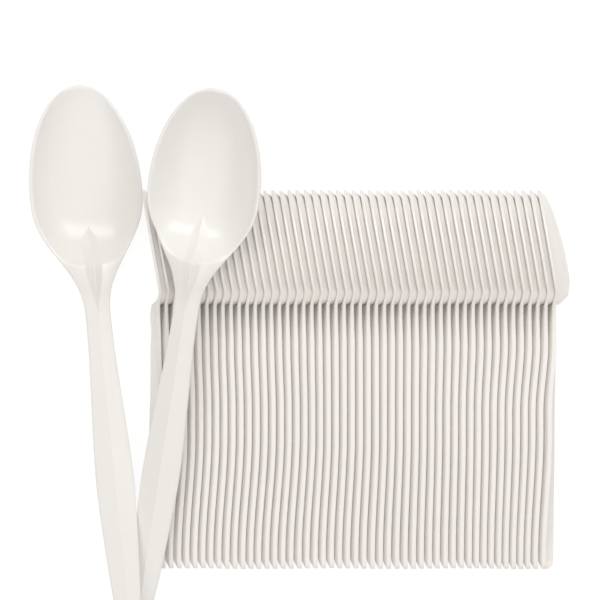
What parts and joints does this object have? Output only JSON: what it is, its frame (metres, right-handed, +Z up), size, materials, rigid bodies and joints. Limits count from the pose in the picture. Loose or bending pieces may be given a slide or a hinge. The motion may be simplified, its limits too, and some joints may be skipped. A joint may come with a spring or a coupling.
{
  "type": "plastic cutlery pack",
  "caption": "Row of nested white plastic teaspoons lying on their edges, with two loose plastic tablespoons of the same pattern leaning on its left end.",
  "frame": {"origin": "under the middle of the whole pack, on the surface that it lies on", "axes": "+X along the row, from its hollow side to its last spoon's back; +Y from the handles to the bowls' tips; +Z up"},
  "size_m": [0.1622, 0.1794, 0.0459],
  "materials": {
    "teaspoon_plastic": "satin, off-white",
    "tablespoon_plastic": "satin, off-white"
  },
  "bodies": {
    "root": {"teaspoon_01": "teaspoon_plastic", "teaspoon_02": "teaspoon_plastic", "teaspoon_03": "teaspoon_plastic", "teaspoon_04": "teaspoon_plastic", "teaspoon_05": "teaspoon_plastic", "teaspoon_06": "teaspoon_plastic", "teaspoon_07": "teaspoon_plastic", "teaspoon_08": "teaspoon_plastic", "teaspoon_09": "teaspoon_plastic", "teaspoon_10": "teaspoon_plastic", "teaspoon_11": "teaspoon_plastic", "teaspoon_12": "teaspoon_plastic", "teaspoon_13": "teaspoon_plastic", "teaspoon_14": "teaspoon_plastic", "teaspoon_15": "teaspoon_plastic", "teaspoon_16": "teaspoon_plastic", "teaspoon_17": "teaspoon_plastic", "teaspoon_18": "teaspoon_plastic", "teaspoon_19": "teaspoon_plastic", "teaspoon_20": "teaspoon_plastic", "teaspoon_21": "teaspoon_plastic", "teaspoon_22": "teaspoon_plastic", "teaspoon_23": "teaspoon_plastic", "teaspoon_24": "teaspoon_plastic", "teaspoon_25": "teaspoon_plastic", "teaspoon_26": "teaspoon_plastic", "teaspoon_27": "teaspoon_plastic", "teaspoon_28": "teaspoon_plastic", "teaspoon_29": "teaspoon_plastic", "teaspoon_30": "teaspoon_plastic", "teaspoon_31": "teaspoon_plastic", "teaspoon_32": "teaspoon_plastic", "teaspoon_33": "teaspoon_plastic", "teaspoon_34": "teaspoon_plastic", "teaspoon_35": "teaspoon_plastic", "teaspoon_36": "teaspoon_plastic", "teaspoon_37": "teaspoon_plastic", "teaspoon_38": "teaspoon_plastic", "teaspoon_39": "teaspoon_plastic", "teaspoon_40": "teaspoon_plastic", "teaspoon_41": "teaspoon_plastic", "teaspoon_42": "teaspoon_plastic", "teaspoon_43": "teaspoon_plastic", "teaspoon_44": "teaspoon_plastic", "teaspoon_45": "teaspoon_plastic", "teaspoon_46": "teaspoon_plastic", "teaspoon_47": "teaspoon_plastic", "teaspoon_48": "teaspoon_plastic", "teaspoon_49": "teaspoon_plastic", "teaspoon_50": "teaspoon_plastic", "tablespoon_left": "tablespoon_plastic", "tablespoon_right": "tablespoon_plastic"}
  },
  "joints": []
}
